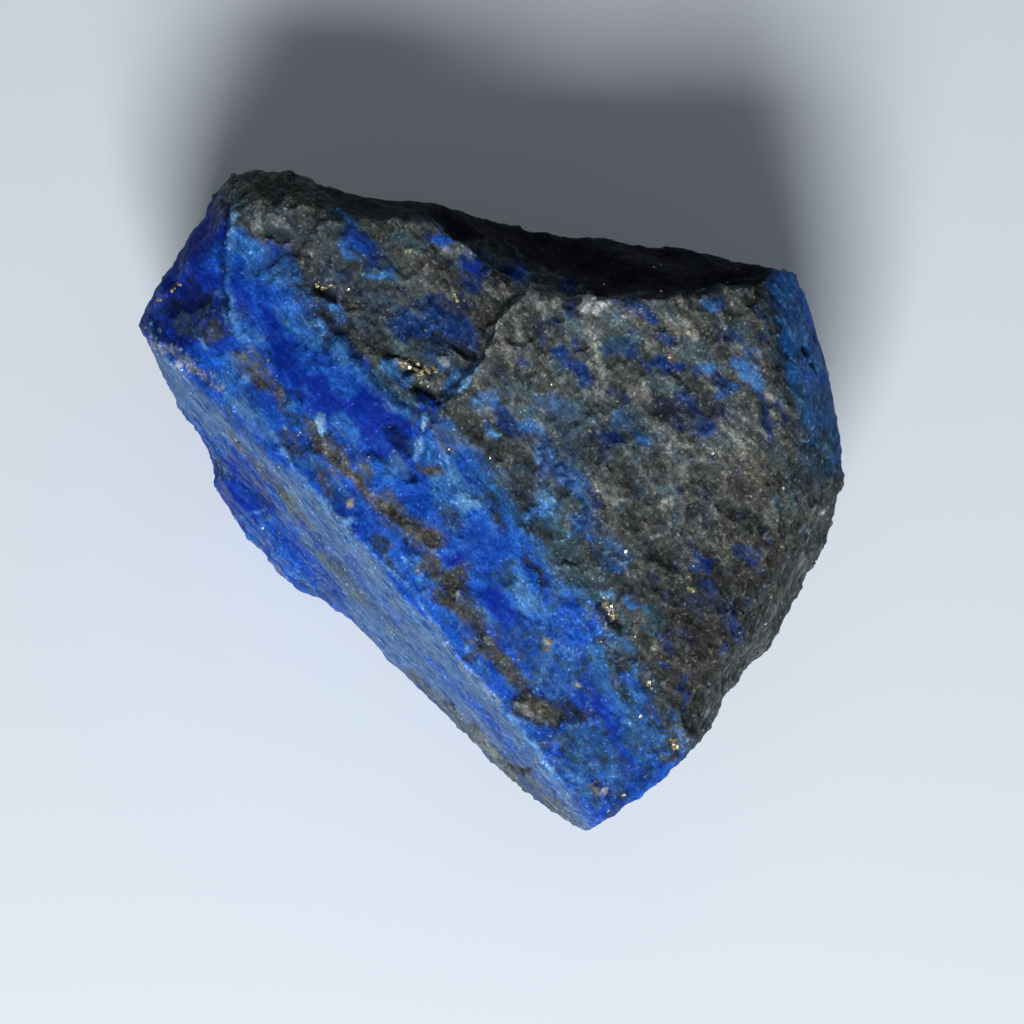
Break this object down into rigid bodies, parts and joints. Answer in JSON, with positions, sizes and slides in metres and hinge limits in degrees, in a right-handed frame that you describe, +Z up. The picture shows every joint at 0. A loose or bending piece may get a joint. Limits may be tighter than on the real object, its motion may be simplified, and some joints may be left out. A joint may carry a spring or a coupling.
{
  "type": "rough lapis lazuli stone",
  "caption": "Broken block of raw lapis lazuli: deep blue rock with azure patches, grey calcite-rich matrix, a flat joint face, and fine golden pyrite grains.",
  "frame": {"origin": "centre of the bounding box, on the resting face", "axes": "+X along the stone's length, from the left corner to the right flank; +Y from the front tip towards the steep back; +Z up from the resting face, through the stone's thickness"},
  "size_m": [0.085, 0.079, 0.046],
  "materials": {
    "lapis_lazuli": "matte"
  },
  "bodies": {
    "root": {"lapis_lazuli": "lapis_lazuli"}
  },
  "joints": []
}
